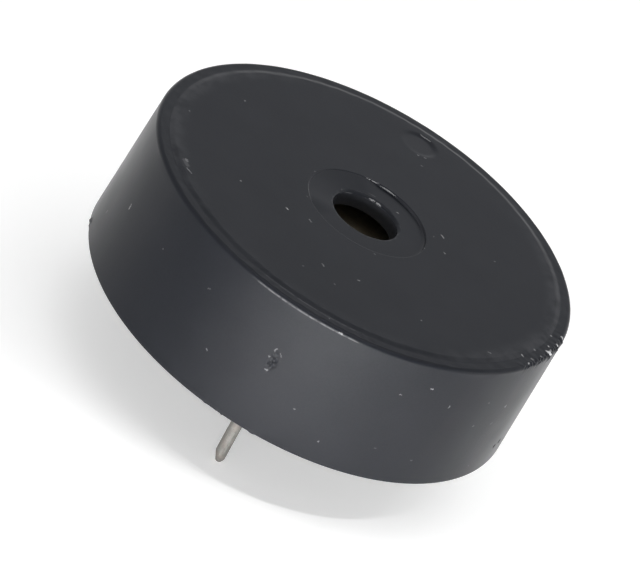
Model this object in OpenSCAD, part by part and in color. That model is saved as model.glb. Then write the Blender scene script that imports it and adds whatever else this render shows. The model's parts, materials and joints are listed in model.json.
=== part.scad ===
// Round piezo buzzer for through-hole mounting, with its driver inside.
// Millimetres. The origin is the centre of the seating plane, which is the lower rim of the case.
// +Z points to the sounding face, and the two pins stand along -Z on the Y axis.

/* [Case] */
// Outside diameter of the case at its seating rim
case_d = 24; // [22:0.5:40]
// Height of the case from the seating rim to the sounding face
case_h = 7.5; // [7:0.1:12]
// Draft of the side wall in degrees
draft_angle = 1.5; // [0:0.1:2]
// Thickness of the wall under the sounding face
face_wall = 1.1; // [0.8:0.1:1.5]
// Thickness of the side wall at the seating rim, beside the board
rim_wall = 1.4; // [1:0.1:1.6]
// Thickness of the side wall beside the piezo element
side_wall = 1.9; // [1.7:0.1:2.2]
// Width of the ledge between the side wall and the raised face
ledge_w = 0.6; // [0.3:0.1:1]
// Height of the raised face above that ledge
face_step = 0.06; // [0.02:0.01:0.2]
// Radius of the rounded outer edge
edge_r = 0.22; // [0.1:0.01:0.5]

/* [Sound hole] */
// Diameter of the sound hole
sound_d = 3.6; // [2:0.1:5]
// Radius of the rounded lip of the sound hole
lip_r = 0.18; // [0.1:0.02:0.5]
// Diameter of the shallow recess round the sound hole
recess_d = 6.7; // [6.2:0.1:9]
// Depth of that recess
recess_depth = 0.14; // [0.05:0.01:0.3]

/* [Dimple] */
// Diameter of the small round dimple in the face
dimple_d = 2.2; // [1:0.1:2.4]
// Depth of the dimple
dimple_depth = 0.1; // [0.05:0.01:0.3]
// Distance between the dimple and the edge of the raised face
dimple_inset = 0.7; // [0.3:0.1:2]
// Angle of the dimple from +X in degrees
dimple_angle = 87.6; // [0:0.1:360]

/* [Piezo element] */
// Thickness of the brass diaphragm
diaphragm_t = 0.2; // [0.1:0.05:0.3]
// Width of the brass left free round the ceramic disc
brass_margin = 3; // [2.6:0.1:3.5]
// Thickness of the ceramic disc
ceramic_t = 0.2; // [0.1:0.05:0.3]
// Thickness of the silver electrodes
electrode_t = 0.03; // [0.02:0.01:0.05]
// Depth of the air space between the diaphragm and the face wall
front_gap = 1.1; // [0.8:0.1:1.5]

/* [Board] */
// Thickness of the circuit board
board_t = 0.8; // [0.6:0.1:1]
// Thickness of the copper tracks
copper_t = 0.035; // [0.018:0.001:0.07]
// Thickness of the sealing resin under the board
resin_t = 0.6; // [0.4:0.1:0.8]
// Depth of the resin's surface below the seating rim
resin_recess = 0.35; // [0.2:0.05:0.6]

/* [Pins] */
// Distance between the two pins
pin_pitch = 15; // [12.5:0.1:16]
// Diameter of the free stretch of a pin
pin_d = 0.64; // [0.5:0.02:0.8]
// Length of a pin below the seating plane
pin_out = 5; // [3:0.1:8]
// Diameter of the swaged stretch held by board and resin
pin_swage_d = 0.8; // [0.7:0.02:1]
// Height of a pin's end above the board
pin_above_board = 0.6; // [0.4:0.1:0.9]

/* [Leads] */
// Outside diameter of the three inner leads
lead_d = 0.5; // [0.3:0.05:0.6]

/* [Hidden] */

// Curves: segments of a full turn, and of a quarter turn in a drawn profile
$fn = 64;
arc_n = 8;

// Clearances
slip_gap = 0.1;          // radial play of the diaphragm and the board in their bores
hole_gap = 0.05;         // radial play of a pin in its board hole
cut_past = 1;            // how far a cutter runs past the face that it cuts

// Levels, from the seating plane up
resin_z = resin_recess;
board_z = resin_z + resin_t;
board_top_z = board_z + board_t;
copper_top_z = board_top_z + copper_t;
face_z = case_h;
ledge_z = face_z - face_step;
recess_z = face_z - recess_depth;
ceiling_z = face_z - face_wall;
diaphragm_top_z = ceiling_z - front_gap;
diaphragm_z = diaphragm_top_z - diaphragm_t;
ceramic_z = diaphragm_z - ceramic_t;
electrode_z = ceramic_z - electrode_t;

// Radii of the case
rim_r = case_d / 2;
top_r = rim_r - ledge_z * tan(draft_angle);
face_r = top_r - ledge_w;
sound_r = sound_d / 2;
recess_r = recess_d / 2;
board_bore_r = rim_r - rim_wall;
element_bore_r = rim_r - side_wall;
element_ledge_w = 0.9;
cavity_r = element_bore_r - element_ledge_w;
step_run = 0.12;
recess_run = 0.1;
dimple_run = 0.3;
dimple_at = face_r - dimple_inset - dimple_d / 2;
inner_chamfer = 0.1;
rim_chamfer = 0.15;
resin_wet_w = 0.5;

// Piezo element and board: what fits in the bores, and the bead at the diaphragm's edge
board_r = board_bore_r - slip_gap;
diaphragm_r = element_bore_r - slip_gap;
ceramic_r = diaphragm_r - brass_margin;
electrode_margin = 0.6;
electrode_r = ceramic_r - electrode_margin;
bead_w = 0.7;
bead_h = 0.5;
tongue_w = 2.2;
tongue_end_x = -2.9;
tongue_gap = 0.4;

// Solder joints: base radius, flat top radius and height
joint_r = 0.75;
joint_top_r = lead_d / 2 + 0.05;
joint_h = 0.42;
pin_joint_r = 1.05;
pin_joint_h = 0.45;

// Places of the joints on the element and on the board
main_element_at = [3.2, 3.8];
main_board_at = [6.4, 0.9];
feedback_element_at = [-4.4, 0];
feedback_board_at = [-7.4, 2.4];
ground_element_angle = -47;
ground_element_r = (ceramic_r + element_bore_r - bead_w) / 2;
ground_element_at = ground_element_r * [cos(ground_element_angle), sin(ground_element_angle)];
ground_board_at = [3.6, -4.4];

// Chip parts on the board: centre of each, and the angle of its long side from +X
load_at = [3.2, 4.4];
bias_at = [-3.2, 3.4];
feedback_chip_at = [-5.2, -2.2];
chip_angle = 90;
chip_l = 2;
chip_w = 1.25;
chip_h = 0.5;
chip_end_l = 0.4;
chip_half = (chip_l - chip_end_l) / 2;

// Transistor: body, and its three gull-wing legs
transistor_l = 2.9;
transistor_w = 1.3;
transistor_h = 0.95;
transistor_lift = 0.1;
leg_w = 0.42;
leg_t = 0.13;
leg_reach = 1.2;
leg_foot = 0.4;
leg_exit_z = 0.5;
leg_pitch = 0.95;

// Tracks and pads
track_w = 0.5;
pad_w = 1.3;
pad_l = 0.9;
leg_pad = 0.8;
lead_pad_r = 0.95;
pin_pad_r = 1.3;

// Pins
pin_r = pin_d / 2;
pin_swage_r = pin_swage_d / 2;
pin_tip_l = 0.6;
pin_tip_r = 0.24;
pin_tip_round = 0.16;
pin_free_top_z = resin_z - 0.15;
pin_shoulder_l = 0.08;
pin_top_z = board_top_z + pin_above_board;
pin_top_bevel = 0.12;
pin_at = [0, pin_pitch / 2];

// Leads: sides of the tube, rings along it, and how straight they leave their joints
lead_sides = 8;
lead_rings = 24;
lead_rise_share = 0.75;

// Points of an arc about [cx, cy] from angle a0 to angle a1
function arc(cx, cy, r, a0, a1, n = arc_n) =
    [for (i = [0:n]) let (a = a0 + (a1 - a0) * i / n) [cx + r * cos(a), cy + r * sin(a)]];

// Points of a smooth step that falls from height z0 to z1 between radii r0 and r1
function soft_step(r0, z0, r1, z1, n = arc_n) =
    [for (i = [0:n]) let (t = i / n) [r0 + (r1 - r0) * t, z0 + (z1 - z0) * (1 - cos(180 * t)) / 2]];

// A point and a direction on the curve that a lead follows, for t from 0 to 1
function curve_point(p, t) =
    pow(1 - t, 3) * p[0] + 3 * t * pow(1 - t, 2) * p[1] + 3 * t * t * (1 - t) * p[2] + pow(t, 3) * p[3];
function curve_way(p, t) =
    let (v = pow(1 - t, 2) * (p[1] - p[0]) + 2 * t * (1 - t) * (p[2] - p[1]) + t * t * (p[3] - p[2]))
    v / norm(v);

// Corners of one ring of a lead's tube, square to the curve
function tube_ring(p, t, side) =
    let (way = curve_way(p, t))
    let (across = cross(way, side))
    let (level = cross(across, way))
    [for (i = [0:lead_sides - 1]) let (a = 360 * (i + 0.5) / lead_sides)
        curve_point(p, t) + lead_d / 2 * (cos(a) * across / norm(across) + sin(a) * level / norm(level))];

// A board joint's top and an element joint's underside, where a lead ends
function board_end(at) = [at[0], at[1], copper_top_z + joint_h];
function element_end(at, z) = [at[0], at[1], z - joint_h];

// ---- case and closure -------------------------------------------------------------------------

module case_profile() {
    polygon(concat(
        [[board_bore_r + rim_chamfer, 0], [rim_r, 0]],
        arc(top_r - edge_r, ledge_z - edge_r, edge_r, 0, 90),
        soft_step(face_r + step_run / 2, ledge_z, face_r - step_run / 2, face_z),
        soft_step(recess_r + recess_run / 2, face_z, recess_r - recess_run / 2, recess_z),
        arc(sound_r + lip_r, recess_z - lip_r, lip_r, 90, 180),
        [
            [sound_r, ceiling_z + inner_chamfer],
            [sound_r + inner_chamfer, ceiling_z],
            [cavity_r, ceiling_z],
            [cavity_r, diaphragm_top_z],
            [element_bore_r, diaphragm_top_z],
            [element_bore_r, board_top_z],
            [board_bore_r, board_top_z],
            [board_bore_r, rim_chamfer]
        ]
    ));
}

// A dish with a soft edge that cuts the dimple
module dimple_cutter() {
    edge = min(dimple_run, dimple_d / 4);
    rotate_extrude()
        polygon(concat(
            [[0, -dimple_depth]],
            soft_step(dimple_d / 2 - edge, -dimple_depth, dimple_d / 2, 0),
            [[dimple_d / 2, cut_past], [0, cut_past]]
        ));
}

module housing() {
    color([0.2, 0.205, 0.215])
    difference() {
        rotate_extrude()
            case_profile();
        rotate([0, 0, dimple_angle])
            translate([dimple_at, 0, face_z])
                dimple_cutter();
    }
}

// The resin climbs a little at the wall, where it wets the case
module sealing_resin() {
    climb = resin_z / 2;
    color([0.08, 0.08, 0.09])
    difference() {
        rotate_extrude()
            polygon(concat(
                [[0, board_z], [0, resin_z]],
                [for (i = [0:arc_n]) let (a = 90 * i / arc_n)
                    [board_bore_r - resin_wet_w * (1 - sin(a)), resin_z - climb * (1 - cos(a))]],
                [[board_bore_r, board_z]]
            ));
        both_pins_at()
            cylinder(r = pin_swage_r, h = 2 * (board_z + cut_past), center = true);
    }
}

// ---- pins -------------------------------------------------------------------------------------

module both_pins_at() {
    for (side = [-1, 1])
        translate([pin_at[0], side * pin_at[1], 0])
            children();
}

module pin() {
    color([0.72, 0.71, 0.68])
    rotate_extrude()
        polygon(concat(
            [[0, -pin_out]],
            arc(pin_tip_r - pin_tip_round, pin_tip_round - pin_out, pin_tip_round, 270, 345),
            [
                [pin_r, pin_tip_l - pin_out],
                [pin_r, pin_free_top_z],
                [pin_swage_r, pin_free_top_z + pin_shoulder_l],
                [pin_swage_r, pin_top_z - pin_top_bevel],
                [pin_swage_r - pin_top_bevel, pin_top_z],
                [0, pin_top_z]
            ]
        ));
}

module positive_pin() {
    translate([pin_at[0], pin_at[1], 0])
        pin();
}

module negative_pin() {
    translate([pin_at[0], -pin_at[1], 0])
        pin();
}

module pin_solder() {
    waist = pin_swage_r + 0.12;
    color([0.78, 0.78, 0.77])
    translate([0, 0, copper_top_z])
    rotate_extrude()
        polygon([
            [pin_swage_r, 0],
            [pin_joint_r, 0],
            [(pin_joint_r + waist) / 2 - 0.1, pin_joint_h * 0.35],
            [waist, pin_joint_h * 0.75],
            [pin_swage_r, pin_joint_h]
        ]);
}

module positive_pin_solder() {
    translate([pin_at[0], pin_at[1], 0])
        pin_solder();
}

module negative_pin_solder() {
    translate([pin_at[0], -pin_at[1], 0])
        pin_solder();
}

// ---- piezo element ----------------------------------------------------------------------------

module diaphragm() {
    color([0.78, 0.62, 0.3])
    translate([0, 0, diaphragm_z])
        cylinder(r = diaphragm_r, h = diaphragm_t);
}

module ceramic_disc() {
    color([0.86, 0.83, 0.74])
    translate([0, 0, ceramic_z])
        cylinder(r = ceramic_r, h = ceramic_t);
}

// Outline of the feedback tongue, grown outwards by grow
module tongue_outline(grow) {
    half_w = tongue_w / 2 + grow;
    translate([-ceramic_r, -half_w])
        square([ceramic_r + tongue_end_x, 2 * half_w]);
    translate([tongue_end_x, 0])
        circle(r = half_w);
}

module main_electrode() {
    color([0.8, 0.8, 0.8])
    translate([0, 0, electrode_z])
    linear_extrude(electrode_t)
    difference() {
        circle(r = electrode_r);
        tongue_outline(tongue_gap);
    }
}

module feedback_electrode() {
    color([0.8, 0.8, 0.8])
    translate([0, 0, electrode_z])
    linear_extrude(electrode_t)
    intersection() {
        circle(r = electrode_r);
        tongue_outline(0);
    }
}

module edge_adhesive() {
    color([0.85, 0.85, 0.82])
    rotate_extrude()
        polygon([
            [element_bore_r - bead_w, diaphragm_z],
            [element_bore_r - bead_w * 0.35, diaphragm_z - bead_h * 0.45],
            [element_bore_r, diaphragm_z - bead_h],
            [element_bore_r, diaphragm_z]
        ]);
}

// ---- circuit board ----------------------------------------------------------------------------

module circuit_board() {
    color([0.62, 0.48, 0.26])
    translate([0, 0, board_z])
    linear_extrude(board_t)
    difference() {
        circle(r = board_r);
        both_pins_at()
            circle(r = pin_swage_r + hole_gap);
    }
}

// A straight track with round ends from a to b
module track(a, b) {
    run = b - a;
    translate(a)
    rotate([0, 0, atan2(run[1], run[0])])
        translate([0, -track_w / 2])
            square([norm(run), track_w]);
    for (end = [a, b])
        translate(end)
            circle(r = track_w / 2);
}

// Tracks through a list of points
module route(points) {
    for (i = [0:len(points) - 2])
        track(points[i], points[i + 1]);
}

// The two pads of a chip part
module chip_pads(at) {
    translate(at)
    rotate([0, 0, chip_angle])
    for (side = [-1, 1])
        translate([side * chip_half, 0])
            square([pad_l, pad_w], center = true);
}

module lead_pad(at) {
    translate(at)
        circle(r = lead_pad_r);
}

// Middle of a leg's foot: the base, the emitter and the collector
base_at = [-leg_pitch, -leg_reach];
emitter_at = [leg_pitch, -leg_reach];
collector_at = [0, leg_reach];

// The end of a chip part on its high or low side
function chip_end(at, side) = [at[0], at[1] + side * chip_half];

module board_tracks() {
    color([0.72, 0.45, 0.25])
    translate([0, 0, board_top_z])
    linear_extrude(copper_t)
    difference() {
        union() {
            // supply: positive pin to the load and bias resistors
            route([pin_at, [chip_end(load_at, 1)[0], pin_at[1]], chip_end(load_at, 1)]);
            route([pin_at, [chip_end(bias_at, 1)[0], pin_at[1]], chip_end(bias_at, 1)]);
            // collector, load resistor and main electrode
            route([collector_at, chip_end(load_at, -1), main_board_at]);
            // base, bias resistor and feedback resistor
            route([chip_end(bias_at, -1), [bias_at[0], base_at[1]], base_at]);
            route([chip_end(feedback_chip_at, -1), [bias_at[0], chip_end(feedback_chip_at, -1)[1]],
                [bias_at[0], base_at[1]]]);
            // feedback electrode
            route([feedback_board_at, [feedback_board_at[0], chip_end(feedback_chip_at, 1)[1]],
                chip_end(feedback_chip_at, 1)]);
            // ground: emitter, negative pin and diaphragm
            route([emitter_at, [emitter_at[0], ground_board_at[1]], [pin_at[0], -pin_at[1]]]);
            route([[emitter_at[0], ground_board_at[1]], ground_board_at]);
            for (at = [load_at, bias_at, feedback_chip_at])
                chip_pads(at);
            for (at = [base_at, emitter_at, collector_at])
                translate(at)
                    square(leg_pad, center = true);
            for (at = [main_board_at, feedback_board_at, ground_board_at])
                lead_pad(at);
            both_pins_at()
                circle(r = pin_pad_r);
        }
        both_pins_at()
            circle(r = pin_swage_r + hole_gap);
    }
}

module transistor_body() {
    color([0.12, 0.12, 0.13])
    translate([0, 0, copper_top_z + transistor_lift + transistor_h / 2])
        cube([transistor_l, transistor_w, transistor_h], center = true);
}

// A gull-wing leg from the body's side out along +Y
module leg() {
    rise = transistor_lift + leg_exit_z;
    bend_y = leg_reach - leg_foot / 2;
    translate([-leg_w / 2, 0, copper_top_z])
    rotate([90, 0, 90])
    linear_extrude(leg_w)
        polygon([
            [transistor_w / 2, rise - leg_t],
            [bend_y - leg_t, rise - leg_t],
            [bend_y - leg_t / 2, 0],
            [bend_y + leg_foot, 0],
            [bend_y + leg_foot, leg_t],
            [bend_y + leg_t, leg_t],
            [bend_y + leg_t / 2, rise],
            [transistor_w / 2, rise]
        ]);
}

module transistor_legs() {
    color([0.75, 0.75, 0.74]) {
        translate([collector_at[0], 0, 0])
            leg();
        for (side = [-1, 1])
            translate([side * leg_pitch, 0, 0])
                mirror([0, 1, 0])
                    leg();
    }
}

// The body of a chip resistor, between its end caps
module chip_body(at) {
    color([0.13, 0.13, 0.14])
    translate([at[0], at[1], copper_top_z])
    rotate([0, 0, chip_angle])
    translate([0, 0, chip_h / 2])
        cube([chip_l - 2 * chip_end_l, chip_w, chip_h], center = true);
}

module load_resistor() {
    chip_body(load_at);
}

module bias_resistor() {
    chip_body(bias_at);
}

module feedback_resistor() {
    chip_body(feedback_chip_at);
}

module resistor_ends() {
    color([0.78, 0.78, 0.77])
    for (at = [load_at, bias_at, feedback_chip_at])
        translate([at[0], at[1], copper_top_z])
        rotate([0, 0, chip_angle])
        for (side = [-1, 1])
            translate([side * chip_half, 0, chip_h / 2])
                cube([chip_end_l, chip_w, chip_h], center = true);
}

// ---- solder joints and leads ------------------------------------------------------------------

// A domed joint with a small flat top, where the lead ends
module joint() {
    color([0.78, 0.78, 0.77])
    rotate_extrude()
        polygon([
            [0, 0],
            [joint_r, 0],
            [joint_r * 0.9, joint_h * 0.4],
            [(joint_r + joint_top_r) / 2, joint_h * 0.85],
            [joint_top_r, joint_h],
            [0, joint_h]
        ]);
}

module board_joint(at) {
    translate([at[0], at[1], copper_top_z])
        joint();
}

// The same joint hanging from the element at height z
module element_joint(at, z) {
    translate([at[0], at[1], z])
    mirror([0, 0, 1])
        joint();
}

module main_board_solder() {
    board_joint(main_board_at);
}

module feedback_board_solder() {
    board_joint(feedback_board_at);
}

module ground_board_solder() {
    board_joint(ground_board_at);
}

module main_element_solder() {
    element_joint(main_element_at, electrode_z);
}

module feedback_element_solder() {
    element_joint(feedback_element_at, electrode_z);
}

module ground_element_solder() {
    element_joint(ground_element_at, diaphragm_z);
}

// A lead that rises from a board joint and bends over to an element joint
module lead(low, high) {
    rise = [0, 0, lead_rise_share * (high[2] - low[2])];
    p = [low, low + rise, high - rise, high];
    run = high - low;
    side = cross([0, 0, 1], [run[0], run[1], 0]);
    corners = [for (k = [0:lead_rings]) each tube_ring(p, k / lead_rings, side)];
    last = lead_rings * lead_sides;
    walls = [for (k = [0:lead_rings - 1], i = [0:lead_sides - 1])
        let (a = k * lead_sides, j = (i + 1) % lead_sides)
        [a + i, a + lead_sides + i, a + lead_sides + j, a + j]];
    ends = [
        [for (i = [0:lead_sides - 1]) i],
        [for (i = [lead_sides - 1:-1:0]) last + i]
    ];
    polyhedron(corners, concat(walls, ends));
}

module main_lead() {
    color([0.75, 0.12, 0.1])
        lead(board_end(main_board_at), element_end(main_element_at, electrode_z));
}

module feedback_lead() {
    color([0.85, 0.85, 0.83])
        lead(board_end(feedback_board_at), element_end(feedback_element_at, electrode_z));
}

module ground_lead() {
    color([0.1, 0.1, 0.11])
        lead(board_end(ground_board_at), element_end(ground_element_at, diaphragm_z));
}

housing();
sealing_resin();
positive_pin();
negative_pin();
diaphragm();
ceramic_disc();
main_electrode();
feedback_electrode();
edge_adhesive();
circuit_board();
board_tracks();
transistor_body();
transistor_legs();
load_resistor();
bias_resistor();
feedback_resistor();
resistor_ends();
main_lead();
feedback_lead();
ground_lead();
main_element_solder();
feedback_element_solder();
ground_element_solder();
main_board_solder();
feedback_board_solder();
ground_board_solder();
positive_pin_solder();
negative_pin_solder();
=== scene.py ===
"""Looks of a round black piezo buzzer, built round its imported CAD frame.

Everything is in metres, in the frame of the part: the origin is the centre of the seating plane,
+Z points to the sounding face, and the two pins stand along -Z on the Y axis. Azimuths are in
degrees from +X towards +Y.
"""

import json
import math
from functools import partial, reduce

import bmesh
import bpy
import numpy as np
from mathutils import Matrix, Vector, noise


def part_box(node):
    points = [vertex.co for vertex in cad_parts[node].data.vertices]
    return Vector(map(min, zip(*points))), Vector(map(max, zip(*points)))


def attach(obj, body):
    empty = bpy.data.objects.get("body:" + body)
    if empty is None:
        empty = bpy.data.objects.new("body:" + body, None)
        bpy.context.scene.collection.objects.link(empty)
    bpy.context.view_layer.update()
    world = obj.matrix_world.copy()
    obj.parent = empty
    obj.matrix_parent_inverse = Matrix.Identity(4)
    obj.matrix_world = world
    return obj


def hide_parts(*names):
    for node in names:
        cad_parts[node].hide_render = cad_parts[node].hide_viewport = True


MM = 0.001

# How close the extra rows of a flat stretch lie to its ends, and the angle from which edges stay sharp
HOLD = 0.025 * MM
SHARP_ANGLE = math.radians(40)

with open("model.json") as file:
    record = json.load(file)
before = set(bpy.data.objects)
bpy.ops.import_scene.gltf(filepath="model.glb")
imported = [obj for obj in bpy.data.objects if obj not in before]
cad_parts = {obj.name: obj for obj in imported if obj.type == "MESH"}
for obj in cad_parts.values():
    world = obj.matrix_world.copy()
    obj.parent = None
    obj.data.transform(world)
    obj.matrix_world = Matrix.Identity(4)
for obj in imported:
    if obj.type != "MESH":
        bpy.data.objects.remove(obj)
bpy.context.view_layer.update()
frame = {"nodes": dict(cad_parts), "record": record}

# ---- sizes -------------------------------------------------------------------------------------

# Taken from the frame
RIM_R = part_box("housing")[1].x
FACE_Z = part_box("housing")[1].z
SEAT_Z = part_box("housing")[0].z
BOARD_TOP_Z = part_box("circuit_board")[1].z
BOARD_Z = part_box("circuit_board")[0].z
BOARD_BORE_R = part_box("sealing_resin")[1].x
ELEMENT_BORE_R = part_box("edge_adhesive")[1].x
ELEMENT_SEAT_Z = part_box("diaphragm")[1].z
RESIN_WALL_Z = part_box("sealing_resin")[0].z
PIN_TIP_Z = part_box("negative_pin")[0].z
PIN_TOP_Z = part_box("negative_pin")[1].z
PIN_Y = (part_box("positive_pin")[0].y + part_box("positive_pin")[1].y) / 2
PIN_SWAGE_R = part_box("negative_pin")[1].x

# The rest of the case's section
DRAFT = math.radians(1.5)
FACE_WALL = 1.1 * MM
LEDGE_W = 0.6 * MM
FACE_STEP = 0.06 * MM
STEP_RUN = 0.4 * MM
EDGE_R = 0.22 * MM
SOUND_R = 1.8 * MM
LIP_R = 0.18 * MM
RECESS_R = 3.35 * MM
RECESS_DEPTH = 0.14 * MM
RECESS_RUN = 0.065 * MM
ELEMENT_LEDGE_W = 0.9 * MM
INNER_CHAMFER = 0.1 * MM
RIM_CHAMFER = 0.15 * MM
RIM_ROUND = 0.05 * MM

LEDGE_Z = FACE_Z - FACE_STEP
TOP_R = RIM_R - (LEDGE_Z - SEAT_Z) * math.tan(DRAFT)
FACE_R = TOP_R - LEDGE_W
RECESS_Z = FACE_Z - RECESS_DEPTH
CEILING_Z = FACE_Z - FACE_WALL

# The recess is shallower on one side: its azimuth, the rise of the floor there, and the cosines
# from that side at which the rise begins and is full
RECESS_SHALLOW_SIDE = 160
RECESS_RISE = 0.12 * MM
RECESS_RISE_SPAN = (0.3, 0.7)

# Slight waviness: size and depth in mm
RIM_WAVE = (0.9, 0.006)
STEP_WAVE = (0.35, 0.012)
LIP_WAVE = (0.3, 0.016)

# Spacing of the case's rows of points, close where the wear and the dimple are, and the height
# that the flecks of flash reach
SEAT_ROWS = 0.4 * MM
FLASH_ROWS = 0.08 * MM
WALL_ROWS = 0.25 * MM
KNOCK_ROWS = 0.06 * MM
LEDGE_ROWS = 0.055 * MM
DIMPLE_ROWS = 0.1 * MM
FACE_ROWS = 0.8 * MM
BORE_ROWS = 0.12 * MM
FLASH_Z = 1.8 * MM

# Spacing of its columns: where each stretch starts and the step in it, in degrees. The last pair
# is the end of the turn.
CASE_COLUMNS = [(-180, 1.2), (-112, 0.4), (-92.2, 0.2), (-88.4, 0.4), (-68, 1.2), (-26, 0.2)]
CASE_COLUMNS += [(1, 1.2), (80.2, 0.6), (95.2, 1.2), (180, 0)]

# Dimple in the face
DIMPLE_R = 1.1 * MM
DIMPLE_DEPTH = 0.08 * MM
DIMPLE_RUN = 0.3 * MM
DIMPLE_MARGIN = 0.1 * MM
DIMPLE_DEEP_SIDE = 55
DIMPLE_AT = FACE_R - 0.7 * MM - DIMPLE_R
DIMPLE_AZIMUTH = 87.6

# Sealing resin. Its bubbles are azimuth, radius and width, its waves are layers of noise as
# (amount, size, seed), its columns are given as the case's are, and its rows as start, end and
# step: lengths in mm, angles in degrees, and a bubble's depth as a share of its width. The cutter
# of its pin holes runs right through it.
RESIN_Z = 2 * RESIN_WALL_Z
RESIN_WET_W = 0.5 * MM
PIN_WET_W = 0.22 * MM
PIN_WET_DEPTH = 0.06 * MM
WELD_GAP = 0.004 * MM
BUBBLES = [(200, 4.2, 0.22), (31, 8.9, 0.16), (118, 6.1, 0.12), (322, 2.4, 0.1)]
BUBBLE_DEPTH = 0.5
RESIN_WAVES = [(0.008, 2.6, 5), (0.002, 0.6, 6)]
RESIN_COLUMNS = [(-97, 0.35), (-83, 2), (83, 0.35), (97, 2), (263, 0)]
RESIN_ROWS = [(0.15, 6.8, 0.2), (6.8, 8.2, 0.05), (8.2, 10.0, 0.15)]
RESIN_WET_ROWS = 10
CUTTER_Z = (-1 * MM, 3 * MM)

# Pins. The cropped tip's cut is short and shallow on one side, long and deep on the other, where
# its depth at the tip is a share of the radius
PIN_R = 0.32 * MM
PIN_FREE_TOP_Z = RESIN_Z - 0.15 * MM
PIN_SHOULDER = 0.08 * MM
PIN_BEVEL = 0.12 * MM
PIN_CUT_SHORT = 0.25 * MM
PIN_CUT_LONG = 0.55 * MM
PIN_CUT_SHARE = (0.38, 0.71)
PIN_TIP_ROUND = 0.05 * MM
PIN_DENT = 0.006 * MM
PIN_DENT_SIZE = 0.3 * MM
PIN_LEAN = 0.2 * MM
PIN_SHIFT = -0.06 * MM
PIN_COLUMNS = 48
PIN_TIP_ROWS = 0.04 * MM
PIN_ROWS = 0.1 * MM
PIN_SWAGE_ROWS = 0.15 * MM

# Wear of the rim, torn up in white burrs: azimuth, radius, slant from the radius, half length,
# half width, height and whiteness. Angles in degrees, lengths in mm. The grain is the size of the
# torn lumps, and ragged is how much they change a burr's height.
BURRS = [
    (-1.5, 11.70, -55, 0.16, 0.05, 0.05, 0.9),
    (-3.5, 11.15, 20, 0.01, 0.05, 0.01, 0.3),
    (-6.0, 11.75, -32, 0.14, 0.04, 0.05, 0.9),
    (-9.0, 11.40, 0, 0.01, 0.05, 0.02, 0.6),
    (-10.0, 11.65, -48, 0.06, 0.05, 0.03, 0.7),
    (-11.2, 11.75, -49, 0.13, 0.08, 0.05, 0.75),
    (-11.5, 11.65, 12, 0.11, 0.08, 0.05, 0.7),
    (-15.0, 11.10, 20, 0.02, 0.06, 0.01, 0.2),
    (-15.5, 11.60, 0, 0.01, 0.045, 0.02, 0.4),
    (-19.5, 11.50, 30, 0.02, 0.07, 0.02, 0.2),
    (-21.5, 11.10, 0, 0.04, 0.05, 0.01, 0.35),
    (-22.0, 11.65, -50, 0.05, 0.05, 0.03, 0.4),
    (-23.5, 11.85, -40, 0.04, 0.05, 0.03, 0.6),
    (-80.0, 11.80, 75, 0.09, 0.05, 0.02, 0.4),
]
BURR_GRAIN = 0.07 * MM
BURR_RAGGED = 0.6

# Painted highlights: glints on the rounded lip of the sound hole and on the edge of its recess: azimuth,
# radius, height, half length, half width and whiteness
LIP_GLINTS = [
    (95, 1.84, 7.28, 0.15, 0.035, 0.4),
    (82, 1.83, 7.29, 0.12, 0.04, 0.5),
    (97, 2.17, 7.36, 0.17, 0.04, 0.13),
    (151, 1.95, 7.33, 0.03, 0.05, 0.2),
    (101, 3.36, 7.46, 0.36, 0.035, 0.38),
]

# Stretch of the outer edge chewed into small teeth: azimuths where it starts and ends, in degrees,
# and the teeth as layers of noise: amount, size in mm and seed
CHEWED = (-27.0, 1.5)
CHEW_DEPTH = 0.045 * MM
CHEW_REACH = 1.4 * EDGE_R
TEETH = [(1, 0.16, 11), (0.6, 0.08, 12)]

# Marks on the face: x, y, direction, half length, half width and whiteness. Lengths in mm.
FACE_MARKS = [
    (-3.5, -4.1, -15, 0.06, 0.06, 0.70),
    (-6.2, -4.2, 0, 0.02, 0.06, 0.50),
    (3.9, 2.1, -42, 0.13, 0.05, 0.50),
    (1.4, -6.5, 20, 0.02, 0.06, 0.45),
    (1.3, 2.0, 0, 0.04, 0.045, 0.50),
    # Painted highlight: the bright far edge of the dimple
    (0.5, 10.4, -7, 0.30, 0.055, 0.32),
    (-8.3, 3.3, 70, 0.02, 0.06, 0.34),
    (-2.2, -3.9, -42, 0.08, 0.05, 0.30),
    (5.1, -6.6, 30, 0.02, 0.05, 0.34),
    (4.4, 0.7, -50, 0.03, 0.05, 0.34),
    (-0.5, -7.1, -42, 0.08, 0.05, 0.27),
    (0.65, 8.3, 0, 0.02, 0.06, 0.32),
    (1.05, 8.45, 0, 0.03, 0.06, 0.28),
    (1.1, 7.5, 0, 0.03, 0.06, 0.18),
    (6.8, 2.8, 40, 0.03, 0.05, 0.24),
    (-10.3, -0.8, 80, 0.03, 0.05, 0.26),
    (-8.6, -6.12, -34, 0.19, 0.04, 0.45),
    (-9.0, -5.35, -60, 0.05, 0.11, 0.28),
    (-8.95, -5.6, -47, 0.2, 0.15, 0.1),
    (8.8, -5.7, 20, 0.06, 0.06, 0.24),
    (3.35, 0.0, 0, 0.02, 0.06, 0.20),
    (1.4, -3.3, 0, 0.02, 0.045, 0.24),
    (-1.3, -8.25, 30, 0.03, 0.05, 0.16),
    (0.5, -8.15, 0, 0.02, 0.045, 0.18),
    (-3.35, 0.8, 60, 0.02, 0.045, 0.20),
    (-3.0, -1.9, 0, 0.02, 0.05, 0.18),
    (3.5, 1.6, 80, 0.03, 0.05, 0.14),
]

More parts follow.
